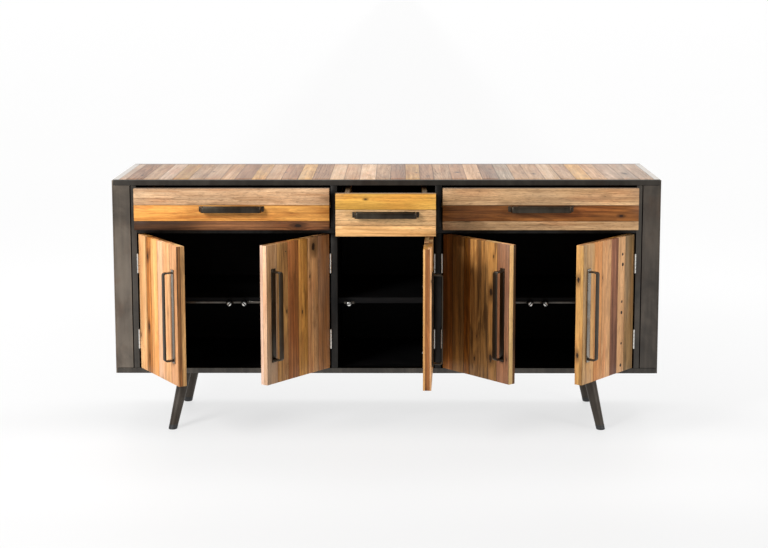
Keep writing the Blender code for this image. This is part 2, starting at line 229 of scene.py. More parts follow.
def wood(name, roughness, coat, fine=1.0):
    """Wood for pieces made by Boards, which stores each plank's colours, growth and character on its mesh.
    fine is the strength of its fine lines."""
    look = Look(name, "grain_place", Coat_Weight=coat, Coat_Roughness=0.22, Specular_IOR_Level=0.18)
    growth = look.parts(look.attribute("growth"))
    knot = look.parts(look.attribute("knot"))
    figure, streaks, weather = look.parts(look.attribute("character"))
    edge = look.parts(look.attribute("edge"))
    pale = look.attribute("pale", "Color")
    deep = look.attribute("deep", "Color")

    # A knot pushes the growth rings aside
    knot_reach = look.length(look.times(knot[0], 0.5), knot[1])
    push = look.step(knot_reach, 0.0, 4.2, 1.0, 0.0)
    ring_x = look.math("SUBTRACT", growth[0], look.times(look.times(knot[1], knot[2]), push))
    warp = look.line(look.noise((2.2, 15.0, 15.0), 3.0), 0.034, -0.017)
    radius = look.length(ring_x, growth[1])
    phase = look.math("FRACT", look.math("DIVIDE", look.math("ADD", radius, warp), RING))
    rings = look.times(look.step(phase, 0.10, 0.86), look.step(phase, 0.90, 1.0, 1.0, 0.0))
    fading = look.patches((2.0, 22.0, 22.0), 0.30, 0.62, 1.0, first=0.25)
    rings = look.times(look.times(rings, figure), fading)

    # Streaks of several widths and broad clouds between the pale and the deep colour
    band = look.patches((1.6, 62.0, 20.0), 0.36, 0.64, 4.0, 0.65)
    broad = look.patches((2.6, 17.0, 9.0), 0.36, 0.64, 3.0, 0.5, 0.8)
    share = look.line(band, 0.52, look.times(broad, 0.34))
    share = look.line(rings, 0.50, look.math("SUBTRACT", share, 0.12), clamp=True)
    colour = look.mix(share, pale, deep)

    # Blotches, veins and fibres
    blotch = look.noise((5.0, 30.0, 30.0), 4.0, 0.66, 0.6)
    vein = look.noise((1.3, 165.0, 50.0), 3.0, 0.6, 0.4)
    fibre = look.noise((14.0, 420.0, 420.0), 3.0, 0.7)
    colour = look.shade(colour, look.line(blotch, 0.85, 0.57))
    for thread in (vein, fibre):
        colour = look.shade(colour, look.line(thread, 0.8 * fine, 1 - 0.4 * fine))

    # Rough-sawn planks are covered in short dark dashes
    dash = look.patches((60.0, 420.0, 420.0), 0.48, 0.68, 3.0, 0.66, 0.8)
    dash = look.times(dash, look.line(edge[2], 0.28, 0.16))
    colour = look.shade(colour, look.math("SUBTRACT", 1.06, dash))

    # Warm patches, dark lines, mineral streaks, weathering and stains
    tint = look.patches((4.0, 19.0, 11.0), 0.50, 0.74, last=0.28)
    colour = look.mix(tint, colour, look.mix(1.0, colour, tone("e69a5c"), "MULTIPLY"))
    dark_line = look.patches((2.0, 120.0, 30.0), 0.59, 0.70, 3.0, 0.6)
    colour = look.cover(colour, dark_line, 0.46 * fine, look.shade(deep, 0.42))
    mineral = look.patches((2.2, 46.0, 9.0), 0.53, 0.66, 4.0, 0.66)
    colour = look.cover(colour, look.times(mineral, streaks), 0.88, look.shade(deep, 0.20))
    grey = look.patches((3.0, 14.0, 12.0), 0.40, 0.66, 3.0)
    colour = look.cover(colour, look.times(grey, weather), 0.62, WEATHERED)
    stain = look.patches((5.0, 30.0, 20.0), 0.50, 0.64, 4.0, 0.6, 1.0)
    colour = look.cover(colour, look.times(stain, growth[2]), 0.8, look.shade(deep, 0.30))

    # Open pores, seen as short dark dashes along the grain
    pores = look.patches((42.0, 780.0, 780.0), 0.57, 0.70)
    pores = look.times(pores, look.patches((5.0, 30.0, 30.0), 0.38, 0.62, first=0.2))
    colour = look.cover(colour, pores, 0.62, look.shade(deep, 0.30))

    # Fine open cracks, in patches
    off = look.math("ABSOLUTE", look.math("SUBTRACT", look.noise((3.4, 110.0, 40.0)), 0.5))
    patch = look.patches((3.0, 16.0, 16.0), 0.46, 0.58, 1.0)
    crack = look.times(look.times(look.step(off, 0.0, 0.016, 1.0, 0.0), patch), edge[2])
    colour = look.cover(colour, crack, 0.8, BLACK_DIRT)

    # Pin knots and old nail holes, here and there
    inputs = {"Vector": look.stretched((7.0, 19.0, 19.0)), "Scale": 1.0}
    cells = look.node("ShaderNodeTexVoronoi", inputs, "Distance")
    pin = look.line(look.noise((90.0, 200.0, 200.0)), 0.08, cells)
    colour = look.mix(look.step(pin, 0.09, 0.26, 0.55, 0.0), colour, look.shade(deep, 0.55))
    colour = look.mix(look.step(pin, 0.075, 0.105, 0.9, 0.0), colour, BLACK_DIRT)

    # The knot itself: a dark heart and a warm halo
    ragged = look.line(look.noise((150.0, 150.0, 150.0)), 0.7, -0.35)
    ragged = look.math("ADD", knot_reach, ragged)
    colour = look.mix(look.step(ragged, 0.9, 3.0, 0.72, 0.0), colour, look.shade(deep, 0.42))
    heart = look.step(ragged, 0.55, 1.0, 0.96, 0.0)
    colour = look.mix(heart, colour, BLACK_DIRT)

    # Dirt in the joints between planks
    rim = look.step(look.math("ABSOLUTE", edge[0]), 0.90, 1.0)
    colour = look.shade(colour, look.line(rim, -0.42, 1.0))

    height = look.line(pores, -0.9, look.times(fibre, 0.55))
    for dent, depth in ((crack, -2.4), (rings, -0.35), (heart, -1.4)):
        height = look.line(dent, depth, height)
    dull = look.line(crack, 0.3, look.line(share, 0.10, roughness))
    return look.finish(Base_Color=colour, Roughness=dull, Normal=look.bump(height, 0.00022, 0.75))


def steel(name, dark, light, metallic, rough_low, rough_high, coat=0.0, painted_sheen=0.0):
    """Patinated steel: cloudy blackening, drawn streaks, warm patches and fine scratches. The last argument
    is how far faces that look upwards are painted pale: a painted reflection of the bright studio on the
    upper rims."""
    look = Look(name, Metallic=metallic, Coat_Weight=coat, Coat_Roughness=0.12,
                Specular_Tint=(1.0, 0.92, 0.84, 1.0))
    cloud = look.noise((7.0, 7.0, 4.5), 5.0, 0.6, 0.6)
    smear = look.noise((55.0, 55.0, 5.0), 3.0)
    speck = look.noise((420.0, 420.0, 420.0), 2.0)
    worn = look.line(smear, 0.35, look.times(cloud, 0.8))
    colour = look.mix(look.step(worn, 0.40, 0.76), dark, light)
    warm = look.patches((16.0, 16.0, 11.0), 0.50, 0.75, 4.0, last=0.45)
    colour = look.mix(warm, colour, look.mix(1.0, colour, tone("d6a984"), "MULTIPLY"))
    colour = look.shade(colour, look.line(speck, 0.30, 0.85))
    scratch = look.patches((900.0, 900.0, 14.0), 0.68, 0.74, 1.0)
    colour = look.cover(colour, scratch, 0.35, light)
    # Faces that look upwards are painted pale: a painted reflection of the bright studio at a grazing view
    if painted_sheen:
        upward = look.parts(look.node("ShaderNodeNewGeometry", {}, "Normal"))[2]
        colour = look.mix(look.step(upward, 0.8, 0.98, 0.0, painted_sheen), colour, PAINTED_SHEEN_COLOUR)
    dull = look.line(cloud, rough_high - rough_low, rough_low)
    height = look.line(speck, 0.6, look.times(smear, 0.8))
    return look.finish(Base_Color=colour, Roughness=dull, Normal=look.bump(height, 0.00012, 0.35))


# Black paint made darker than any real paint: partly the boards' own black, partly painted shade that keeps
# the case's inside and the shelves' tops dark
def black_paint_and_shade():
    look = Look("black_board", Specular_IOR_Level=0.12)
    grain = look.noise((14.0, 90.0, 90.0), 3.0)
    peel = look.noise((650.0, 650.0, 650.0), 1.0)
    colour = look.mix(look.step(grain, 0.35, 0.7), (0.0012, 0.0012, 0.0016), (0.0040, 0.0038, 0.0040))
    dull = look.line(grain, 0.18, 0.52)
    height = look.math("ADD", grain, look.times(peel, 0.4))
    return look.finish(Base_Color=colour, Roughness=dull, Normal=look.bump(height, 0.0002, 0.35))


def nickel():
    look = Look("nickel", Metallic=1.0)
    cloud = look.noise((160.0, 160.0, 60.0), 3.0)
    drawn = look.noise((2500.0, 2500.0, 90.0), 1.0)
    colour = look.mix(cloud, (0.60, 0.59, 0.56), (0.84, 0.83, 0.80))
    dull = look.line(cloud, 0.18, 0.20)
    return look.finish(Base_Color=colour, Roughness=dull, Normal=look.bump(drawn, 0.00005, 0.4))


def moulded_black():
    look = Look("glide_plastic")
    pebble = look.noise((900.0, 900.0, 900.0), 2.0)
    scuff = look.noise((60.0, 60.0, 300.0), 3.0)
    colour = look.mix(look.step(scuff, 0.5, 0.75), (0.010, 0.010, 0.011), (0.032, 0.031, 0.030))
    dull = look.line(scuff, 0.25, 0.38)
    return look.finish(Base_Color=colour, Roughness=dull, Normal=look.bump(pebble, 0.0001, 0.4))


def rusty_iron():
    look = Look("rusty_iron", Metallic=0.3)
    scale = look.noise((700.0, 700.0, 700.0), 3.0)
    colour = look.mix(look.step(scale, 0.4, 0.65), (0.006, 0.003, 0.002), (0.022, 0.009, 0.004))
    return look.finish(Base_Color=colour, Roughness=look.line(scale, 0.3, 0.55),
                       Normal=look.bump(scale, 0.0003, 0.8))


DOOR_WOOD = wood("reclaimed_plank", 0.42, 0.0)
TOP_WOOD = wood("weathered_plank", 0.44, 0.30, 0.55)
BOX_WOOD = wood("drawer_wood", 0.50, 0.0)
FRAME_STEEL = steel("patinated_steel", (0.025, 0.021, 0.017), (0.084, 0.070, 0.055), 1.0, 0.26, 0.42, 0.7)
# Steel of the drawer rail and the divider posts, darker than the frame's: painted shade, as they stand in
# the shadow of the drawer fronts and doors
SHADED_INNER_STEEL = steel("shaded_dark_steel", (0.008, 0.008, 0.008), (0.026, 0.024, 0.022), 0.8, 0.40, 0.55, 0.1)
LEG_STEEL = steel("leg_steel", (0.029, 0.024, 0.019), (0.064, 0.052, 0.042), 0.4, 0.42, 0.56)
# The side covers are two copies of one patinated sheet: the left one lit, the right one darker, painted
# shade where the key light from the left falls less
COVER_STEEL = steel("patinated_sheet", (0.074, 0.059, 0.045), (0.185, 0.148, 0.112),
                    1.0, 0.28, 0.45, 0.9, 0.85)
SHADED_COVER_STEEL = steel("shaded_patinated_sheet", (0.034, 0.027, 0.020), (0.105, 0.083, 0.063),
                         1.0, 0.30, 0.45, 0.8, 0.85)
RAIL_STEEL = steel("rail_steel", (0.012, 0.0105, 0.009), (0.032, 0.028, 0.023), 0.35, 0.44, 0.58)
HANDLE_STEEL = steel("handle_steel", (0.019, 0.015, 0.011), (0.054, 0.044, 0.032), 0.9, 0.32, 0.46, 0.12)
# Pale steel for the handle strips of the two outer doors: a painted reflection of the lamps; the other
# strips get the dark handle steel
LIT_STRIP_STEEL = steel("lit_strip_steel", (0.17, 0.155, 0.135), (0.36, 0.33, 0.29), 1.0, 0.20, 0.34)
# The black board's colour is partly painted shade
BLACK_BOARD = black_paint_and_shade()
NICKEL = nickel()
BLACK_PLASTIC = moulded_black()
OLD_IRON = rusty_iron()


# Meshes

def show(name, bm, look, body, at=None, replaces=(), angle=35):
    """Turns a bmesh into a piece that rides on a body, smooth but for edges above an angle in degrees."""
    bmesh.ops.recalc_face_normals(bm, faces=bm.faces)
    mesh = bpy.data.meshes.new(name)
    bm.to_mesh(mesh)
    bm.free()
    mesh.shade_smooth()
    mesh.set_sharp_from_angle(angle=math.radians(angle))
    mesh.materials.append(look)
    made = bpy.data.objects.new(name, mesh)
    bpy.context.scene.collection.objects.link(made)
    if at is not None:
        made.matrix_world = at
    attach(made, body)
    if replaces:
        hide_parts(*replaces)


def add_block(bm, low, high, bevel=0.0, segments=2):
    """Adds a box with rounded edges to a bmesh and returns its vertices."""
    low, high = Vector(low), Vector(high)
    centre = Matrix.Translation((low + high) / 2) @ Matrix.Diagonal((*(high - low), 1.0))
    verts = bmesh.ops.create_cube(bm, size=1.0, matrix=centre)["verts"]
    if bevel:
        edges = {edge for vert in verts for edge in vert.link_edges}
        made = bmesh.ops.bevel(bm, geom=list(edges), offset=bevel, segments=segments, profile=0.5,
                               affect="EDGES", clamp_overlap=True)
        verts = {vert for face in made["faces"] for vert in face.verts}
        verts |= {vert for face in made["faces"] for edge in face.edges for vert in edge.verts}
    return list(verts)


def add_turned(bm, profile, at=Matrix(), sides=32):
    """Adds a solid turned about Z to a bmesh, from (radius, height) points. The first and last close it."""
    rings = []
    for radius, height in profile:
        ring = []
        for i in range(sides):
            turn = math.tau * i / sides
            point = Vector((radius * math.cos(turn), radius * math.sin(turn), height))
            ring.append(bm.verts.new(at @ point))
        rings.append(ring)
    for low, high in zip(rings, rings[1:]):
        for i in range(sides):
            j = (i + 1) % sides
            bm.faces.new((low[i], low[j], high[j], high[i]))
    bm.faces.new(list(reversed(rings[0])))
    bm.faces.new(rings[-1])


def add_bar(bm, outline, push):
    """Adds a bar to a bmesh: an outline of points, pushed along a vector."""
    face = bm.faces.new([bm.verts.new(point) for point in outline])
    made = bmesh.ops.extrude_face_region(bm, geom=[face])
    moved = [item for item in made["geom"] if isinstance(item, bmesh.types.BMVert)]
    bmesh.ops.translate(bm, vec=push, verts=moved)


def round_rims(bm, width, sharp=0.9):
    """Rounds a bmesh's edges that are sharper than an angle in radians."""
    rims = [edge for edge in bm.edges if len(edge.link_faces) == 2 and edge.calc_face_angle(0.0) > sharp]
    bmesh.ops.bevel(bm, geom=rims, offset=width, segments=2, profile=0.5, affect="EDGES")


TURNS = {
    "front": ("X", RIGHT_ANGLE),
    "back": ("X", -RIGHT_ANGLE),
    "right": ("Y", RIGHT_ANGLE),
    "left": ("Y", -RIGHT_ANGLE),
    "down": ("X", math.pi),
}


def facing(direction, *place):
    """A frame at a place, with its Z towards the front, back, right, left or floor."""
    axis, turn = TURNS[direction]
    return Matrix.Translation(place) @ Matrix.Rotation(turn, 4, axis)


RING_PITCH = 45 * MM  # between the rings of vertices along a plank
NO_KNOT = Vector((100.0, 100.0, 0.0))  # a knot far away


class Boards:
    """Planks that share one mesh. Each has its own colours, growth and character, which wood() reads."""

    VECTORS = ("grain_place", "growth", "knot", "character", "edge")
    COLOURS = ("pale", "deep")

    def __init__(self, seed):
        self.draw = random.Random(seed)
        self.bm = bmesh.new()
        self.layers = {key: self.bm.verts.layers.float_vector.new(key) for key in self.VECTORS}
        self.layers |= {key: self.bm.verts.layers.float_color.new(key) for key in self.COLOURS}

    def plank(self, low, high, grain, wide, kind, bevel=0.6 * MM, figure=None, streaks=0.0, weather=0.0,
              cracks=0.0, knot=None, shade=1.0, rough=0.10 * MM, stain=0.0, fade=None):
        """One plank between two corners. grain and wide are the axes along and across it. knot is its place
        as shares of the length and width from the low corner, its radius, and for a twin knot the share of
        the length that each stands from that place. fade is a shade at each end, and the shares of the
        length between which one turns into the other."""
        low, high = Vector(low), Vector(high)
        thin = 3 - grain - wide
        draw = self.draw
        rings = max(2, round((high[grain] - low[grain]) / RING_PITCH))
        outline = []
        for a, b, start in ((1, 0, 0), (1, 1, 1), (0, 1, 2), (0, 0, 3)):
            corner_w = (high if a else low)[wide] - (1 if a else -1) * bevel
            corner_t = (high if b else low)[thin] - (1 if b else -1) * bevel
            for i in range(3):
                turn = RIGHT_ANGLE * (start - 1 + i / 2)
                outline.append((corner_w + bevel * math.cos(turn), corner_t + bevel * math.sin(turn)))
        middle_w = (low[wide] + high[wide]) / 2
        middle_t = (low[thin] + high[thin]) / 2
        ends = [(low[grain], bevel), (low[grain] + bevel, 0.0)]
        for i in range(1, rings):
            ends.append((low[grain] + (high[grain] - low[grain]) * i / rings, 0.0))
        ends += [(high[grain] - bevel, 0.0), (high[grain], bevel)]
        loops = []
        verts = []
        for along, inset in ends:
            lean = draw.uniform(-rough, rough)
            loop = []
            for w, t in outline:
                point = Vector()
                point[grain] = along
                point[wide] = w - math.copysign(inset, w - middle_w) * 0.7 + (lean if not inset else 0.0)
                point[thin] = t - math.copysign(inset, t - middle_t) * 0.7
                loop.append(self.bm.verts.new(point))
            loops.append(loop)
            verts += loop
        count = len(outline)
        for first, second in zip(loops, loops[1:]):
            for i in range(count):
                j = (i + 1) % count
                self.bm.faces.new((first[i], first[j], second[j], second[i]))
        self.bm.faces.new(list(reversed(loops[0])))
        self.bm.faces.new(loops[-1])
        draw.uniform(0.0, 1.0)  # not used: it keeps the later draws, and so the looks, as they are
        pale, deep = (tone(code) for code in WOODS[kind])
        shade *= draw.uniform(0.95, 1.05)
        figure = draw.uniform(0.45, 1.0) if figure is None else figure
        size = high - low
        self._grow(verts, low, (grain, wide, thin), stain)
        for vert in verts:
            along = (vert.co[grain] - low[grain]) / size[grain]
            across = (vert.co[wide] - low[wide]) / size[wide]
            vert[self.layers["knot"]] = NO_KNOT
            if knot:
                apart = abs(along - knot[0]) - knot[3] if len(knot) > 3 else along - knot[0]
                vert[self.layers["knot"]] = Vector((apart * size[grain] / knot[2],
                                                    (across - knot[1]) * size[wide] / knot[2], knot[2]))
            vert[self.layers["character"]] = Vector((figure, streaks, weather))
            vert[self.layers["edge"]] = Vector((2 * across - 1, 0.0, cracks))
            light = shade
            if fade:
                turned = min(1.0, max(0.0, (along - fade[2]) / (fade[3] - fade[2])))
                light *= fade[0] + (fade[1] - fade[0]) * turned * turned * (3 - 2 * turned)
            for key, colour in (("pale", pale), ("deep", deep)):
                vert[self.layers[key]] = (*[min(1.0, part * light) for part in colour], 1.0)

    def _grow(self, verts, low, axes, stain):
        """A place in the log for every vertex: the grain's own coordinates and the way to the pith. The
        stain goes with it, in the third part of the growth layer."""
        draw = self.draw
        start = Vector([draw.uniform(3.0, 30.0) for _ in range(3)])
        pith_x = draw.uniform(-0.045, 0.045)
        pith_y = draw.uniform(0.012, 0.075)
        slope = draw.uniform(-0.030, 0.030)
        drift = draw.uniform(-0.012, 0.012)
        for vert in verts:
            along, across, into = (vert.co[axis] - low[axis] for axis in axes)
            vert[self.layers["grain_place"]] = start + Vector((along, across, into))
            vert[self.layers["growth"]] = Vector((
                across + pith_x + drift * along, into + pith_y + slope * along, stain))

    def piece(self, name, look, body, at=None, replaces=()):
        show(name, self.bm, look, body, at, replaces, 50)


class Door:
    """A door's own frame and its box in it. The origin is on the hinge's axis at the floor, and X runs to
    the right and Y to the back with the door shut. at puts the door as it stands at rest."""

    def __init__(self, name):
        joint = JOINTS[name]
        self.pivot = Vector((*joint["pos_m"][:2], 0.0))
        turn = Matrix.Rotation(-math.radians(joint["range_deg"][0]), 4, Vector(joint["axis"]))
        self.at = Matrix.Translation(self.pivot) @ turn
        back = self.at.inverted()
        points = [back @ vert.co for vert in NODES[name].data.vertices]
        self.low = Vector([min(point[i] for point in points) for i in range(3)])
        self.high = Vector([max(point[i] for point in points) for i in range(3)])
        ends = (self.low.x, self.high.x)
        self.toward = 1 if self.high.x > -self.low.x else -1  # from the hinge to the free edge
        self.hinge_x, self.free_x = ends[::self.toward]


DOORS = {name: Door(name) for name in DOOR_NAMES}

# Planks of each door's front, from the hinge to the free edge: wood, width in mm, and what is special
DOOR_FRONTS = {
    "door_1": (
        ("butter", 56, {"figure": 0.6, "stain": 0.2}),
        ("tan", 7, {"streaks": 0.8, "shade": 1.1}),
        ("orange", 38, {"streaks": 1.0, "knot": (0.60, 0.35, 6 * MM, 0.26), "fade": (0.75, 1.15, 0.1, 0.5),
                        "stain": 0.3}),
        ("corn", 53, {"figure": 0.8}),
        ("cream", 47, {"figure": 0.4, "fade": (0.9, 1.15, 0.6, 0.95)}),
        ("peach", 54, {"figure": 0.7}),
        ("rose", 55, {"figure": 0.5}),
    ),
    "door_2": (
        ("sienna", 59, {"weather": 0.4, "stain": 0.3}),
        ("chestnut", 53, {"knot": (0.93, 0.55, 9 * MM), "weather": 0.3}),
        ("amber", 47, {"streaks": 0.6, "stain": 0.5}),
        ("rust", 53, {"figure": 0.5, "streaks": 0.2}),
        ("olive", 53, {"streaks": 0.5, "stain": 0.4, "fade": (1.08, 0.95, 0.4, 0.6)}),
        ("sand", 48, {"weather": 0.6, "fade": (0.85, 1.03, 0.12, 0.4), "stain": 0.3}),
    ),
    "door_3": (
        ("tan", 50, {}),
        ("rust", 54, {}),
        ("honey", 52, {}),
        ("sienna", 50, {"weather": 0.3}),
        ("amber", 55, {}),
        ("peach", 56, {}),
    ),
    "door_4": (
        ("walnut", 48, {"fade": (2.1, 1.1, 0.02, 0.28), "streaks": 0.3}),
        ("umber", 54, {"fade": (1.45, 1.08, 0.02, 0.3), "streaks": 0.4}),
        ("teak", 30, {"streaks": 0.9, "stain": 0.6, "fade": (1.35, 0.78, 0.38, 0.6)}),
        # The three gold planks turn dark towards their lower ends: painted shadow of door 3 across door 4's
        # lower part
        ("gold", 50, {"streaks": 0.9, "stain": 0.9, "fade": (0.47, 0.76, 0.66, 0.95)}),
        ("gold", 34, {"streaks": 1.0, "stain": 0.9, "fade": (0.39, 0.76, 0.78, 0.96)}),
        ("gold", 43, {"streaks": 0.8, "stain": 0.8, "fade": (0.40, 0.74, 0.62, 0.92),
                      "knot": (0.40, 0.35, 8 * MM, 0.24)}),
        ("russet", 55, {"figure": 0.5, "weather": 0.3}),
    ),
    "door_5": (
        ("moss", 57, {"weather": 0.4, "stain": 0.4}),
        ("apricot", 45, {"figure": 0.5, "fade": (1.0, 1.06, 0.2, 0.8)}),
        ("mauve", 43, {"streaks": 0.5, "fade": (0.76, 1.48, 0.1, 0.95)}),
        ("bisque", 56, {"figure": 0.6, "stain": 0.4}),
        ("copper", 47, {"stain": 0.2, "fade": (0.86, 1.10, 0.1, 0.9)}),
        ("fawn", 48, {"weather": 0.5, "fade": (1.2, 0.96, 0.1, 0.9)}),
        ("dune", 18, {"weather": 0.4, "stain": 0.6}),
    ),
}

# Strips that close each door's free edge, front to back: wood, share of the thickness, and what is special
DOOR_EDGES = {
    "door_1": (("cocoa", 0.48, {"streaks": 0.9, "stain": 0.5, "fade": (2.4, 1.35, 0.03, 0.18)}),
               ("tan", 0.52, {"streaks": 0.4, "stain": 0.4, "shade": 1.15, "fade": (1.2, 1.0, 0.2, 0.8)})),
    "door_2": (("ivory", 0.55, {"figure": 0.4, "stain": 0.2, "fade": (0.82, 1.05, 0.2, 0.7)}),
               ("pearl", 0.45, {"figure": 0.3})),
    "door_3": (("apricot", 0.22, {"figure": 0.4, "stain": 0.3}),
               ("rust", 0.54, {"figure": 0.3, "stain": 0.3}),
               ("fawn", 0.24, {"figure": 0.3})),
    "door_4": (("honey", 0.62, {"figure": 0.5, "stain": 0.2, "fade": (0.84, 1.35, 0.1, 0.8)}),
               ("cocoa", 0.38, {"figure": 0.5, "shade": 0.45, "fade": (1.9, 0.6, 0.02, 0.3)})),
    "door_5": (("resin", 0.38, {"fade": (0.5, 0.85, 0.1, 0.4), "stain": 0.9, "streaks": 0.3}),
               ("resin", 0.62, {"knot": (0.483, 0.45, 5.5 * MM, 0.271), "figure": 0.8})),
}
DOOR_BACKS = ("tan", "honey", "umber", "amber", "peach", "sienna", "rust")

JOINT_GAP = 0.1 * MM
EDGE_STRIP = 2.4 * MM
FRONT_LAYER = 0.46  # share of a door's thickness
WIDE_DOOR = 0.32  # a door from this width on has one more plank behind


def fitted(planks, length):
    """The planks' widths scaled so that they fill a length."""
    total = sum(plank[1] for plank in planks)
    return [plank[1] / total * length for plank in planks]


def make_door(name, seed):
    door = DOORS[name]
    low, high, toward = door.low, door.high, door.toward
    band_x = door.free_x - toward * (EDGE_STRIP + JOINT_GAP)
    split_y = low.y + (high.y - low.y) * FRONT_LAYER

    front = Boards(seed)
    planks = DOOR_FRONTS[name]
    x = door.hinge_x
    for (kind, _, special), width in zip(planks, fitted(planks, abs(band_x - x))):
        ends = sorted((x, x + toward * (width - JOINT_GAP)))
        front.plank((ends[0], low.y, low.z), (ends[1], split_y - JOINT_GAP, high.z), 2, 0, kind, **special)
        x += toward * width
    front.piece(f"{name}_front_planks", DOOR_WOOD, name, door.at, (name,))

    back = Boards(seed + 50)
    count = 5 if abs(band_x - door.hinge_x) < WIDE_DOOR else 6
    pitch = (band_x - door.hinge_x) / count
    for i in range(count):
        x = door.hinge_x + pitch * i
        ends = sorted((x, door.hinge_x + pitch * (i + 1) - toward * JOINT_GAP))
        kind = DOOR_BACKS[(seed + i * 3) % len(DOOR_BACKS)]
        back.plank((ends[0], split_y, low.z), (ends[1], high.y, high.z), 2, 0, kind)
    back.piece(f"{name}_back_planks", DOOR_WOOD, name, door.at)

    band = Boards(seed + 90)
    ends = sorted((door.free_x, door.free_x - toward * EDGE_STRIP))
    y = low.y
    for kind, share, special in DOOR_EDGES[name]:
        y_end = y + share * (high.y - low.y)
        band.plank((ends[0], y, low.z), (ends[1], y_end - JOINT_GAP, high.z), 2, 1, kind, bevel=0.5 * MM,
                   **special)
        y = y_end
    band.piece(f"{name}_edge_strips", DOOR_WOOD, name, door.at)


# Drawer fronts, top plank first: wood, height in mm, and what is special
DRAWER_FRONTS = {
    "drawer_1": (
        ("wheat", 54, {"cracks": 1.0, "figure": 0.6, "weather": 0.2, "fade": (0.98, 1.15, 0.4, 1.0)}),
        ("tangerine", 52, {"figure": 0.9, "fade": (1.05, 0.86, 0.2, 0.6), "stain": 0.3}),
        ("ember", 30, {"streaks": 0.9, "knot": (0.84, 0.5, 7 * MM), "fade": (0.30, 1.08, 0.24, 0.42)}),
    ),
    "drawer_2": (
        ("mustard", 51, {"knot": (0.30, 0.66, 2.6 * MM), "figure": 0.5}),
        ("straw", 51, {"cracks": 0.9, "figure": 0.5, "stain": 0.3}),
        ("oat", 34, {"figure": 0.8, "fade": (1.0, 0.88, 0.6, 1.0)}),
    ),
    "drawer_3": (
        ("hay", 55, {"cracks": 0.8, "figure": 0.5, "weather": 0.2, "fade": (0.94, 1.14, 0.3, 0.8)}),
        ("brick", 52, {"streaks": 0.5, "knot": (0.91, 0.34, 4 * MM), "fade": (0.92, 1.05, 0.2, 0.6),
                       "stain": 0.3}),
        ("hay", 29, {"cracks": 0.8, "fade": (0.72, 1.02, 0.1, 0.8)}),
    ),
}
# The backings of the two shut drawers are much darker than the open one's: painted shade from the rail
# above them
BACKING_PAINTED_SHADE = {"drawer_1": 0.25, "drawer_2": 1.0, "drawer_3": 0.25}
DRAWER_FRONT_LAYER = 0.55  # share of a drawer front's thickness


def make_drawer_front(name, seed):
    low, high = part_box(f"{name}_front")
    split_y = low.y + (high.y - low.y) * DRAWER_FRONT_LAYER
    front = Boards(seed)
    planks = DRAWER_FRONTS[name]
    z = high.z
    for (kind, _, special), height in zip(planks, fitted(planks, high.z - low.z)):
        front.plank((low.x, low.y, z - height + JOINT_GAP), (high.x, split_y - JOINT_GAP, z), 0, 2, kind,
                    bevel=0.8 * MM, **special)
        z -= height
    front.piece(f"{name}_front_planks", DOOR_WOOD, name, None, (f"{name}_front",))
    back = Boards(seed + 40)
    # A shut drawer's backing is painted darker: painted shade under the rail
    back.plank((low.x, split_y, low.z), (high.x, high.y, high.z), 0, 2, "umber", bevel=1.0 * MM,
               shade=BACKING_PAINTED_SHADE[name])
    back.piece(f"{name}_front_backing", DOOR_WOOD, name)


BOX_SIDE = 15 * MM
GROOVE = (45 * MM, 65 * MM)  # above the box's underside
GROOVE_DEPTH = 7 * MM
GROOVE_FRONT = 42.5 * MM  # behind the drawer front's own front face
BOX_FLOOR = (6 * MM, 12 * MM)  # above the box's underside


def make_drawer_box(name, seed):
    """Two sides with a groove each, a back and an inner front between them, and a bottom let in."""
    low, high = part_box(f"{name}_box")
    groove_low, groove_high = (low.z + height for height in GROOVE)
    groove_front = JOINTS[name]["range_m"][0] + FRONT_Y + GROOVE_FRONT
    floor_low, floor_high = (low.z + height for height in BOX_FLOOR)
    boards = Boards(seed)
    for x_out, inward in ((low.x, 1), (high.x, -1)):
        x_groove = x_out + inward * GROOVE_DEPTH
        core = sorted((x_groove, x_out + inward * BOX_SIDE))
        skin = sorted((x_out, x_groove - inward * JOINT_GAP))
        for (x_low, x_high), y_end, z_low, z_high in (
                (core, high.y, low.z, high.z),
                (skin, high.y, low.z, groove_low),
                (skin, high.y, groove_high, high.z),
                (skin, groove_front, groove_low + JOINT_GAP, groove_high - JOINT_GAP)):
            # The sides' colour turns dark a short way behind their front ends: painted shade where they run
            # back into the case
            boards.plank((x_low, low.y, z_low), (x_high, y_end, z_high), 1, 2, "box_pine",
                         bevel=0.5 * MM, rough=0.0, fade=(1.0, 0.25, 0.04, 0.16))
    x_low, x_high = low.x + BOX_SIDE + JOINT_GAP, high.x - BOX_SIDE - JOINT_GAP
    boards.plank((x_low, low.y, low.z), (x_high, low.y + BOX_SIDE, high.z), 0, 2, "box_pine",
                 bevel=0.5 * MM)
    boards.piece(f"{name}_box_boards", BOX_WOOD, name, None, (f"{name}_box",))
    bm = bmesh.new()
    # The box's back is black board, unlike its pine sides and bottom: painted shade deep inside the drawer
    add_block(bm, (x_low, high.y - BOX_SIDE, low.z), (x_high, high.y, high.z), 0.5 * MM)
    show(f"{name}_shaded_box_back", bm, BLACK_BOARD, name)
    floor = Boards(seed + 5)
    floor.plank((x_low, low.y + BOX_SIDE + JOINT_GAP, floor_low),
                (x_high, high.y - BOX_SIDE - JOINT_GAP, floor_high),
                0, 1, "box_pine", bevel=0.3 * MM, shade=0.95, figure=0.8)
    floor.piece(f"{name}_box_bottom", BOX_WOOD, name)


def make_runners():
    for number, name in enumerate(DRAWER_NAMES):
        for side in ("left", "right"):
            node = f"{name}_{side}_runner"
            low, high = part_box(node)
            batten = Boards(700 + number * 2 + (side == "right"))
            batten.plank(low, high, 1, 2, "box_pine", bevel=1.0 * MM, rough=0.0)
            batten.piece(f"{node}_batten", BOX_WOOD, "case", None, (node,))


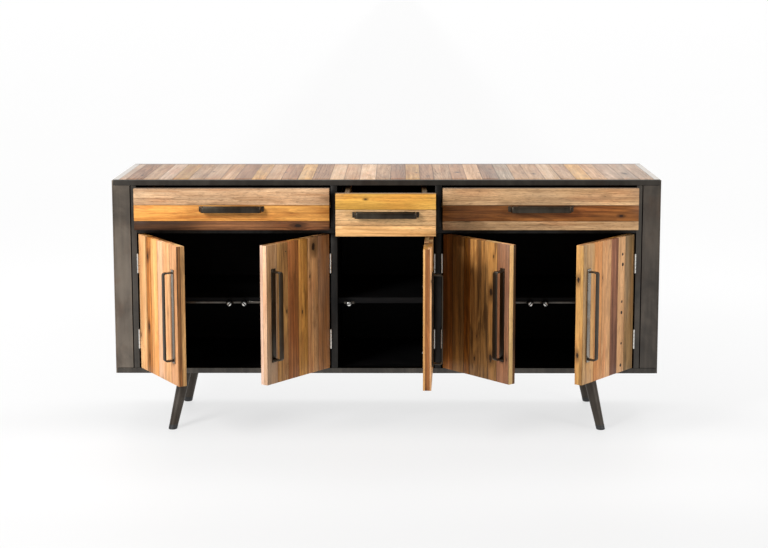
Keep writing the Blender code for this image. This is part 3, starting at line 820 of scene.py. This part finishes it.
# Planks of the top, left to right: wood, width in mm, shade
TOP_PLANKS = (
    ("top_ash", 23, 1.0), ("top_bark", 55, 1.0), ("top_fawn", 50, 1.0), ("top_ash", 46, 1.1),
    ("top_straw", 55, 0.9), ("top_fawn", 50, 1.0), ("top_blush", 54, 1.0), ("top_blush", 47, 1.0),
    ("top_bark", 55, 1.0), ("top_straw", 47, 1.1), ("top_blush", 52, 0.95), ("top_clay", 54, 1.1),
    ("top_straw", 48, 1.15), ("top_clay", 57, 1.0), ("top_milk", 48, 1.0), ("top_blush", 50, 1.05),
    ("top_milk", 53, 1.0), ("top_fawn", 49, 1.05), ("top_bark", 50, 1.05), ("top_straw", 48, 0.9),
    ("top_clay", 46, 1.0), ("top_fawn", 58, 1.1), ("top_clay", 49, 1.05), ("top_blush", 53, 1.1),
    ("top_bark", 54, 0.95), ("top_grey", 50, 1.0), ("top_blush", 48, 0.95), ("top_blush", 53, 0.95),
    ("top_milk", 51, 0.92), ("top_fawn", 50, 1.05), ("top_straw", 53, 1.2), ("top_blush", 50, 1.05),
    ("top_ash", 54, 1.15), ("top_ash", 49, 1.0), ("top_ash", 49, 1.0),
)


KNOTTY_TOP_PLANKS = (22, 27, 33)


def make_top(seed=11):
    low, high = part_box("plank_top")
    boards = Boards(seed)
    x = low.x
    for number, (plank, width) in enumerate(zip(TOP_PLANKS, fitted(TOP_PLANKS, high.x - low.x))):
        special = {"weather": 0.15 + 0.3 * (number % 3 == 0), "cracks": 0.6 * (number % 4 == 1)}
        if number in KNOTTY_TOP_PLANKS:
            special["knot"] = (0.35 + 0.1 * (number % 3), 0.5, 5 * MM)
        boards.plank((x, low.y, low.z), (x + width - JOINT_GAP, high.y, high.z), 1, 0, plank[0],
                     bevel=0.7 * MM, shade=plank[2], **special)
        x += width
    boards.piece("plank_top_boards", TOP_WOOD, "case", None, ("plank_top",))


# Pieces that keep their modelled shape, with softened edges

def soften(node, look, width):
    """A better material and rounded edges on a piece that keeps its own mesh."""
    made = NODES[node]
    made.data.materials.clear()
    made.data.materials.append(look)
    weld = made.modifiers.new("weld", "WELD")
    weld.merge_threshold = 0.00002
    edge = made.modifiers.new("edge", "BEVEL")
    edge.width = width
    edge.segments = 2
    edge.limit_method = "ANGLE"
    edge.angle_limit = math.radians(40)
    edge.harden_normals = True


# Each look, how far its edges are rounded, and its nodes
KEPT_NODES = (
    (FRAME_STEEL, 0.7 * MM, ("front_bottom_rail", "rear_top_rail", "left_stile", "right_stile")),
    (RAIL_STEEL, 0.7 * MM, ("front_top_rail",)),
    # The drawer rail takes the darker steel: painted shade
    (SHADED_INNER_STEEL, 0.7 * MM, ("drawer_rail",)),
    (COVER_STEEL, 0.7 * MM, ("left_side_cover",)),
    # The right cover takes the darker copy of the sheet: painted shade
    (SHADED_COVER_STEEL, 0.7 * MM, ("right_side_cover",)),
    (LEG_STEEL, 0.6 * MM, [f"{corner}_leg" for corner in CORNERS]),
    (BLACK_PLASTIC, 0.4 * MM, [f"{corner}_glide" for corner in CORNERS]),
    (BLACK_BOARD, 0.5 * MM, ("bottom_board", "back_panel", "left_shelf", "middle_shelf", "right_shelf")),
)


def finish_kept_nodes():
    for look, width, nodes in KEPT_NODES:
        for node in nodes:
            soften(node, look, width)


# Dividers: a steel post in front and a black board behind

POST_DEPTH = 30 * MM
FIT = 0.3 * MM  # gap between pieces that touch


def make_dividers():
    rail_low, rail_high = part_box("drawer_rail")
    for side in ("left", "right"):
        node = f"{side}_divider"
        low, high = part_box(node)
        bm = bmesh.new()
        for z_low, z_high in ((low.z, rail_low.z - FIT), (rail_high.z + FIT, high.z)):
            add_block(bm, (low.x, low.y, z_low), (high.x, low.y + POST_DEPTH, z_high), 0.7 * MM)
        # The posts take the darker steel: painted shade
        show(f"{node}_post", bm, SHADED_INNER_STEEL, "case", None, (node,))
        bm = bmesh.new()
        add_block(bm, (low.x, low.y + POST_DEPTH + FIT, low.z), high, 0.5 * MM)
        show(f"{node}_board", bm, BLACK_BOARD, "case")


# Handles

HANDLE_WIDTH = 18 * MM
HANDLE_BAR = 4 * MM
HANDLE_REACH = 35.5 * MM
HANDLE_BEND = 9 * MM
HANDLE_INSET = 31.5 * MM  # from a door's free edge
STRIP_PAST = 7.5 * MM  # the modelled strip's length past the bar at each end
LIT_STRIP_DOORS = ("door_1", "door_5")  # doors whose handle strip gets pale steel: a painted reflection of the lamps these outer doors face; the others' strips are dark


def arc_points(centre, radius, start, end, steps=8):
    """Points on a circle from one angle to another, in degrees."""
    turns = [math.radians(start + (end - start) * i / steps) for i in range(steps + 1)]
    return [(centre[0] + radius * math.cos(turn), centre[1] + radius * math.sin(turn)) for turn in turns]


def make_handle(name, at, face, strip_look):
    """A flat bar bent into a U, on a thin strip against the wood. face puts its frame, with X along the bar
    and -Y out of the wood; at is where the door stands, or None."""
    low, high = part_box(f"{name}_handle")
    half = max(high - low) / 2 - STRIP_PAST
    bend = half - HANDLE_BEND
    turn = -HANDLE_REACH + HANDLE_BEND
    inner = HANDLE_BEND - HANDLE_BAR
    outline = [(-half, -HANDLE_BAR)] + arc_points((-bend, turn), HANDLE_BEND, 180, 270)
    outline += arc_points((bend, turn), HANDLE_BEND, 270, 360) + [(half, -HANDLE_BAR)]
    outline += [(half - HANDLE_BAR, -HANDLE_BAR)] + arc_points((bend, turn), inner, 360, 270)
    outline += arc_points((-bend, turn), inner, 270, 180) + [(-half + HANDLE_BAR, -HANDLE_BAR)]
    side = HANDLE_WIDTH / 2
    width = face.to_3x3() @ Vector((0.0, 0.0, HANDLE_WIDTH))
    bm = bmesh.new()
    add_bar(bm, [face @ Vector((x, y, -side)) for x, y in outline], width)
    round_rims(bm, 0.6 * MM)
    show(f"{name}_handle_bar", bm, HANDLE_STEEL, name, at, (f"{name}_handle",))
    bm = bmesh.new()
    end = half + STRIP_PAST
    block = add_block(bm, (-end, -HANDLE_BAR, -side), (end, -0.05 * MM, side), 0.5 * MM)
    bmesh.ops.transform(bm, matrix=face, verts=block)
    show(f"{name}_handle_strip", bm, strip_look, name, at)


def make_handles():
    for name in DRAWER_NAMES:
        low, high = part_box(f"{name}_handle")
        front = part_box(f"{name}_front")[0].y
        middle = Matrix.Translation(((low.x + high.x) / 2, front, (low.z + high.z) / 2))
        make_handle(name, None, middle, HANDLE_STEEL)
    for name, door in DOORS.items():
        low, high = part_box(f"{name}_handle")
        place = (door.free_x - door.toward * HANDLE_INSET, door.low.y, (low.z + high.z) / 2)
        # Lit and shaded copies of one strip: the pale one is a painted reflection
        strip_look = LIT_STRIP_STEEL if name in LIT_STRIP_DOORS else HANDLE_STEEL
        make_handle(name, door.at, facing("right", *place), strip_look)


# Butt hinges

BARREL = 3.2 * MM
LEAF = 1.0 * MM
KNUCKLES = 5
KNUCKLE_GAP = 0.35 * MM
LEAF_GAP = 0.2 * MM  # from the hinge's axis to its leaf
PIN = 1.3 * MM
PIN_CAP = 1.9 * MM
PIN_TIP = 0.7 * MM


def screw_head(bm, at, radius, height):
    """A countersunk screw's head with a round recess, its top facing along the matrix's Z."""
    add_turned(bm, ((radius, 0.0), (radius, height * 0.4), (radius * 0.8, height), (radius * 0.42, height),
                    (radius * 0.30, height * 0.35)), at, 20)


def hinge_half(name, body, at, side, z_low, z_high, numbers, replaces=()):
    """One leaf with its own knuckles. side is +1 or -1: which way across the axis the leaf lies."""
    bm = bmesh.new()
    pitch = (z_high - z_low) / KNUCKLES
    leaf = sorted((side * LEAF_GAP, side * (LEAF_GAP + LEAF)))
    add_block(bm, (leaf[0], 3.6 * MM, z_low + 0.2 * MM), (leaf[1], 20 * MM, z_high - 0.2 * MM), 0.25 * MM)
    rim = 0.35 * MM
    for number in numbers:
        low = z_low + pitch * number + KNUCKLE_GAP / 2
        high = z_low + pitch * (number + 1) - KNUCKLE_GAP / 2
        add_turned(bm, ((1.5 * MM, low), (BARREL - rim, low), (BARREL, low + rim), (BARREL, high - rim),
                        (BARREL - rim, high), (1.5 * MM, high)), Matrix(), 28)
        add_block(bm, (leaf[0], 0.4 * MM, low + rim), (leaf[1], 4.4 * MM, high - rim), 0.1 * MM)
    for share in (0.2, 0.5, 0.8):
        z = z_low + (z_high - z_low) * share
        head = facing("left" if side > 0 else "right", LEAF_GAP * side, 12 * MM, z)
        screw_head(bm, head, 2.9 * MM, 0.12 * MM)
    show(name, bm, NICKEL, body, at, replaces)


def make_hinges(name):
    door = DOORS[name]
    still = Matrix.Translation(door.pivot)
    for place in ("upper", "lower"):
        node = f"{name}_{place}_hinge"
        z_low, z_high = (corner.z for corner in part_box(node))
        hinge_half(f"{node}_frame_leaf", "case", still, -door.toward, z_low, z_high, (0, 2, 4), (node,))
        hinge_half(f"{node}_door_leaf", name, door.at, door.toward, z_low, z_high, (1, 3))
        bm = bmesh.new()
        add_turned(bm, ((PIN_TIP, z_low - 1.2 * MM), (PIN_CAP, z_low - 0.7 * MM),
                        (PIN_CAP, z_low - 0.1 * MM), (PIN, z_low),
                        (PIN, z_high), (PIN_CAP, z_high + 0.1 * MM),
                        (PIN_CAP, z_high + 0.7 * MM), (PIN_TIP, z_high + 1.2 * MM)), Matrix(), 20)
        show(f"{node}_pin", bm, NICKEL, "case", still)


# Magnetic catches on the shelves' front edges, and their strike plates on the doors

DOOR_PAIRS = {"left": ("door_1", "door_2"), "right": ("door_4", "door_5")}
CATCH_INSET = 24.9 * MM  # from the middle between a pair
CATCH_SHIFT = 3 * MM  # from the middle between the two hinge lines
MIDDLE_CATCH_INSET = 35 * MM
POLE_RADIUS = 6.6 * MM
HOUSING_RADIUS = 8.6 * MM
CATCH_FRONT = 28.2 * MM  # behind the case's front plane
CATCH_BACK = 44.8 * MM
CATCH_Z = SHELF_BOTTOM + 0.3 * MM
SLOT = 0.24  # half the slot's width, as a share of the radius
SLOT_LEAN = math.radians(45)
MIDDLE_SLOT_LEAN = math.radians(12)
POLE_STEPS = 14


def make_catch(name, x, lean, wings):
    """A magnet between two round pole pieces, seen as a bright disc split by a dark slanted slot."""
    front = facing("front", x, FRONT_Y + CATCH_FRONT, CATCH_Z)
    turned = front @ Matrix.Rotation(lean, 4, "Z")
    length = CATCH_BACK - CATCH_FRONT
    start = math.asin(SLOT)
    bm = bmesh.new()
    for half in (1, -1):
        turns = [start + (math.pi - 2 * start) * i / POLE_STEPS for i in range(POLE_STEPS + 1)]
        outline = [turned @ Vector((POLE_RADIUS * math.cos(turn), half * POLE_RADIUS * math.sin(turn), 0.0))
                   for turn in turns]
        add_bar(bm, outline, front.to_3x3() @ Vector((0.0, 0.0, -length)))
    round_rims(bm, 0.5 * MM)
    show(f"{name}_poles", bm, NICKEL, "case")

    bm = bmesh.new()
    rim = 0.5 * MM
    add_turned(bm, ((HOUSING_RADIUS - rim, -length), (HOUSING_RADIUS, rim - length),
                    (HOUSING_RADIUS, -1.2 * MM - rim), (HOUSING_RADIUS - rim, -1.2 * MM)), front, 40)
    show(f"{name}_housing", bm, BLACK_PLASTIC, "case")

    bm = bmesh.new()
    y_back = FRONT_Y + CATCH_BACK
    top = SHELF_BOTTOM - 0.2 * MM
    add_block(bm, (x - 8 * MM, y_back - 1.4 * MM, top - 1.6 * MM), (x + 8 * MM, y_back + 26 * MM, top),
              0.4 * MM)
    if wings:
        add_block(bm, (x - 17 * MM, y_back - 1.5 * MM, top - 1.0 * MM),
                  (x + 17 * MM, y_back - 0.1 * MM, top + 7 * MM), 0.5 * MM)
        for side in (-1, 1):
            head = facing("front", x + side * 13 * MM, y_back - 1.5 * MM, top + 3.2 * MM)
            screw_head(bm, head, 2.2 * MM, 0.6 * MM)
    show(f"{name}_bracket", bm, FRAME_STEEL, "case")


def make_strike(name, x):
    """A domed steel disc on the door's inner face, held by one screw."""
    door = DOORS[name]
    back = facing("back", x, door.high.y, CATCH_Z)
    bm = bmesh.new()
    add_turned(bm, ((7.0 * MM, 0.05 * MM), (7.0 * MM, 0.6 * MM), (6.2 * MM, 0.9 * MM),
                    (2.6 * MM, 1.0 * MM)), back)
    screw_head(bm, back @ Matrix.Translation((0.0, 0.0, 1.0 * MM)), 2.4 * MM, 0.35 * MM)
    show(f"{name}_strike", bm, NICKEL, name, door.at)


def catch_middle(pair):
    """The place along X between the two catches of a pair of doors."""
    return sum(JOINTS[name]["pos_m"][0] for name in pair) / 2 + CATCH_SHIFT


def make_catches():
    for pair in DOOR_PAIRS.values():
        for name, side in zip(pair, (-1, 1)):
            x = catch_middle(pair) + side * CATCH_INSET
            make_catch(f"{name}_catch", x, -side * SLOT_LEAN, False)
            make_strike(name, x - JOINTS[name]["pos_m"][0])
    x = DOORS["door_3"].low.x + MIDDLE_CATCH_INSET
    make_catch("door_3_catch", x + JOINTS["door_3"]["pos_m"][0], MIDDLE_SLOT_LEAN, True)
    make_strike("door_3", x)


LIP_HEIGHT = 6.5 * MM


def make_shelf_lips():
    """A thin steel strip along the bottom front edge of each outer shelf, cut away at the catches."""
    clear = HOUSING_RADIUS + 1 * MM
    for bay, pair in DOOR_PAIRS.items():
        low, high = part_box(f"{bay}_shelf")
        cuts = [low.x + 0.5 * MM]
        for side in (-1, 1):
            x = catch_middle(pair) + side * CATCH_INSET
            cuts += [x - clear, x + clear]
        cuts.append(high.x - 0.5 * MM)
        bm = bmesh.new()
        for start, end in zip(cuts[::2], cuts[1::2]):
            add_block(bm, (start, low.y - 1.5 * MM, low.z), (end, low.y - 0.1 * MM, low.z + LIP_HEIGHT),
                      0.4 * MM)
        show(f"{bay}_shelf_lip", bm, FRAME_STEEL, "case")


# Small fixings

HANDLE_SCREW = 105 * MM  # above and below the handle's middle
LEG_SCREW = 31 * MM  # from the middle of the leg's plate, along X and Y
PLATE = 4 * MM  # the plate's thickness
BACK_SCREWS = 9  # in a row
PEG_INSET = 60 * MM


def make_handle_screws():
    """Round heads on the inner face of each door, where the handle's screws come through."""
    for name, door in DOORS.items():
        low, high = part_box(f"{name}_handle")
        bm = bmesh.new()
        for side in (-1, 1):
            back = facing("back", door.free_x - door.toward * HANDLE_INSET, door.high.y,
                          (low.z + high.z) / 2 + side * HANDLE_SCREW)
            add_turned(bm, ((5.0 * MM, 0.05 * MM), (5.0 * MM, 0.6 * MM), (3.6 * MM, 2.0 * MM),
                            (1.2 * MM, 2.5 * MM)), back, 24)
        show(f"{name}_handle_screws", bm, NICKEL, name, door.at)


def make_leg_screws():
    for corner in CORNERS:
        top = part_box(f"{corner}_leg")[1].z
        points = [vert.co for vert in NODES[f"{corner}_leg"].data.vertices if vert.co.z > top - 1 * MM]
        x_mid, y_mid = ((min(p[i] for p in points) + max(p[i] for p in points)) / 2 for i in (0, 1))
        bm = bmesh.new()
        for dx in (-LEG_SCREW, LEG_SCREW):
            for dy in (-LEG_SCREW, LEG_SCREW):
                screw_head(bm, facing("down", x_mid + dx, y_mid + dy, top - PLATE), 3.6 * MM, 1.2 * MM)
        show(f"{corner}_leg_screws", bm, NICKEL, "case")


def make_back_screws():
    low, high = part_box("back_panel")
    bm = bmesh.new()
    for row_z in (low.z + 12 * MM, high.z - 12 * MM):
        for i in range(BACK_SCREWS):
            x = low.x + 20 * MM + (high.x - low.x - 40 * MM) * i / (BACK_SCREWS - 1)
            screw_head(bm, facing("back", x, high.y, row_z), 3.4 * MM, 1.0 * MM)
    show("back_panel_screws", bm, NICKEL, "case")


def make_shelf_pegs():
    for bay in ("left", "middle", "right"):
        low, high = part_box(f"{bay}_shelf")
        bm = bmesh.new()
        for x, inward in ((low.x, "right"), (high.x, "left")):
            for y in (low.y + PEG_INSET, high.y - PEG_INSET):
                add_turned(bm, ((2.5 * MM, 0.0), (2.5 * MM, 8.0 * MM), (1.9 * MM, 8.6 * MM)),
                           facing(inward, x, y, low.z - 2.8 * MM), 16)
        show(f"{bay}_shelf_pegs", bm, NICKEL, "case")


# Old nail heads: share of the door's width from its free edge, then height above its bottom edge and
# radius in mm
DOOR_NAILS = {
    "door_5": ((0.765, 392, 4.0), (0.772, 358, 5.0), (0.765, 235, 3.8), (0.762, 199, 4.8), (0.765, 96, 3.6),
               (0.762, 23, 4.6)),
    "door_2": ((0.30, 420, 2.0),),
}


def make_nails():
    for name, nails in DOOR_NAILS.items():
        door = DOORS[name]
        bm = bmesh.new()
        for share, height, radius in nails:
            x = door.free_x - door.toward * share * (door.high.x - door.low.x)
            front = facing("front", x, door.low.y, door.low.z + height * MM)
            r = radius * MM
            add_turned(bm, ((r * 1.25, -0.05 * MM), (r * 1.15, 0.16 * MM), (r * 0.85, 0.22 * MM),
                            (r * 0.6, 0.06 * MM)), front, 18)
        show(f"{name}_nails", bm, OLD_IRON, name, door.at)


make_top()
for number, name in enumerate(DOOR_NAMES):
    make_door(name, 101 + number)
    make_hinges(name)
for number, name in enumerate(DRAWER_NAMES):
    make_drawer_front(name, 301 + number)
    make_drawer_box(name, 401 + number)
make_runners()
finish_kept_nodes()
make_dividers()
make_catches()
make_shelf_lips()
make_handles()
make_handle_screws()
make_leg_screws()
make_back_screws()
make_shelf_pegs()
make_nails()


# Studio

def make_floor():
    """A pale matt floor with a painted glow: brighter further back, a band of painted light before the
    sideboard, a soft painted shadow below it.
    """
    look = Look("studio_floor", Roughness=0.6, Specular_IOR_Level=0.2)
    soft = look.noise((0.8, 0.8, 0.8), 2.0)
    colour = look.mix(soft, (0.205, 0.205, 0.205), (0.22, 0.22, 0.22))
    across, away = look.parts(look.place)[:2]
    look.shader.inputs["Emission Color"].default_value = (1.0, 1.0, 1.0, 1.0)
    bm = bmesh.new()
    bmesh.ops.create_grid(bm, x_segments=1, y_segments=1, size=300.0)
    mesh = bpy.data.meshes.new("studio_floor")
    bm.to_mesh(mesh)
    bm.free()
    # Painted light: the glow rises towards the back, lifts a band just in front of the sideboard and dips
    # below it, a painted shadow
    front = look.step(away, -0.9, 0.4, 0.60, 0.69)
    back = look.math("ADD", look.step(away, 0.0, 3.0, 0.0, 0.076), look.step(away, 3.4, 8.0, 0.0, 0.01))
    painted_front_light = look.step(away, -1.2, -0.6, 0.0, 0.07)
    shade = look.math("SUBTRACT", painted_front_light, look.step(away, -0.25, 0.15, 0.0, 0.095))
    beneath = look.step(look.math("ABSOLUTE", across), 0.9, 1.7, 1.0, 0.0)
    glow = look.line(shade, beneath, look.math("ADD", front, back))
    mesh.materials.append(look.finish(Base_Color=colour, Emission_Strength=glow))
    floor = bpy.data.objects.new("studio_floor", mesh)
    floor.location.z = -0.5 * MM
    bpy.context.scene.collection.objects.link(floor)


def area_light(name, place, target, width, height, power):
    data = bpy.data.lights.new(name, "AREA")
    data.shape = "RECTANGLE"
    data.size = width
    data.size_y = height
    data.energy = power
    made = bpy.data.objects.new(name, data)
    made.location = place
    made.rotation_euler = (Vector(target) - Vector(place)).to_track_quat("-Z", "Y").to_euler()
    bpy.context.scene.collection.objects.link(made)


def make_world():
    """Bright behind and to the sides of the sideboard, dimmer in front of it, where the camera stands."""
    world = bpy.data.worlds.new("studio")
    world.use_nodes = True
    tree = world.node_tree
    direction = tree.nodes.new("ShaderNodeTexCoord")
    split = tree.nodes.new("ShaderNodeSeparateXYZ")
    level = tree.nodes.new("ShaderNodeMapRange")
    level.interpolation_type = "SMOOTHSTEP"
    for socket, value in (("From Min", -0.75), ("From Max", 0.45), ("To Min", 0.22), ("To Max", 0.90)):
        level.inputs[socket].default_value = value
    tree.links.new(direction.outputs["Generated"], split.inputs[0])
    tree.links.new(split.outputs["Y"], level.inputs["Value"])
    tree.links.new(level.outputs[0], tree.nodes["Background"].inputs["Strength"])
    tree.nodes["Background"].inputs["Color"].default_value = (1.0, 1.0, 1.0, 1.0)
    bpy.context.scene.world = world


def make_lights():
    area_light("key_left", (-2.7, -3.4, 2.4), (0.0, 0.0, 0.35), 1.2, 1.2, 190)
    area_light("fill_right", (3.2, -2.4, 1.6), (0.2, 0.0, 0.4), 1.2, 1.8, 60)
    area_light("top_back", (0.0, 1.2, 3.4), (0.0, 0.0, 0.8), 3.0, 1.0, 40)


def make_camera():
    """A long lens, five and a half metres in front. The upright lines converge less than the view's
    downward slope would make them, so part of the slope is a shift of the lens."""
    data = bpy.data.cameras.new("camera")
    data.sensor_fit = "HORIZONTAL"
    data.sensor_width = 36.0
    data.lens = 78.74
    made = bpy.data.objects.new("camera", data)
    place = Matrix.Translation((0.0421, FRONT_Y - 5.4631, 1.5028))
    yaw, pitch, roll = 0.0090, -0.1439, 0.0012
    data.shift_y = -0.0656
    made.matrix_world = (place @ Matrix.Rotation(yaw, 4, "Z") @ Matrix.Rotation(RIGHT_ANGLE + pitch, 4, "X")
                         @ Matrix.Rotation(-roll, 4, "Z"))
    bpy.context.scene.collection.objects.link(made)
    bpy.context.scene.camera = made


make_floor()
make_world()
make_lights()
make_camera()
bpy.context.scene.view_settings.view_transform = "Standard"
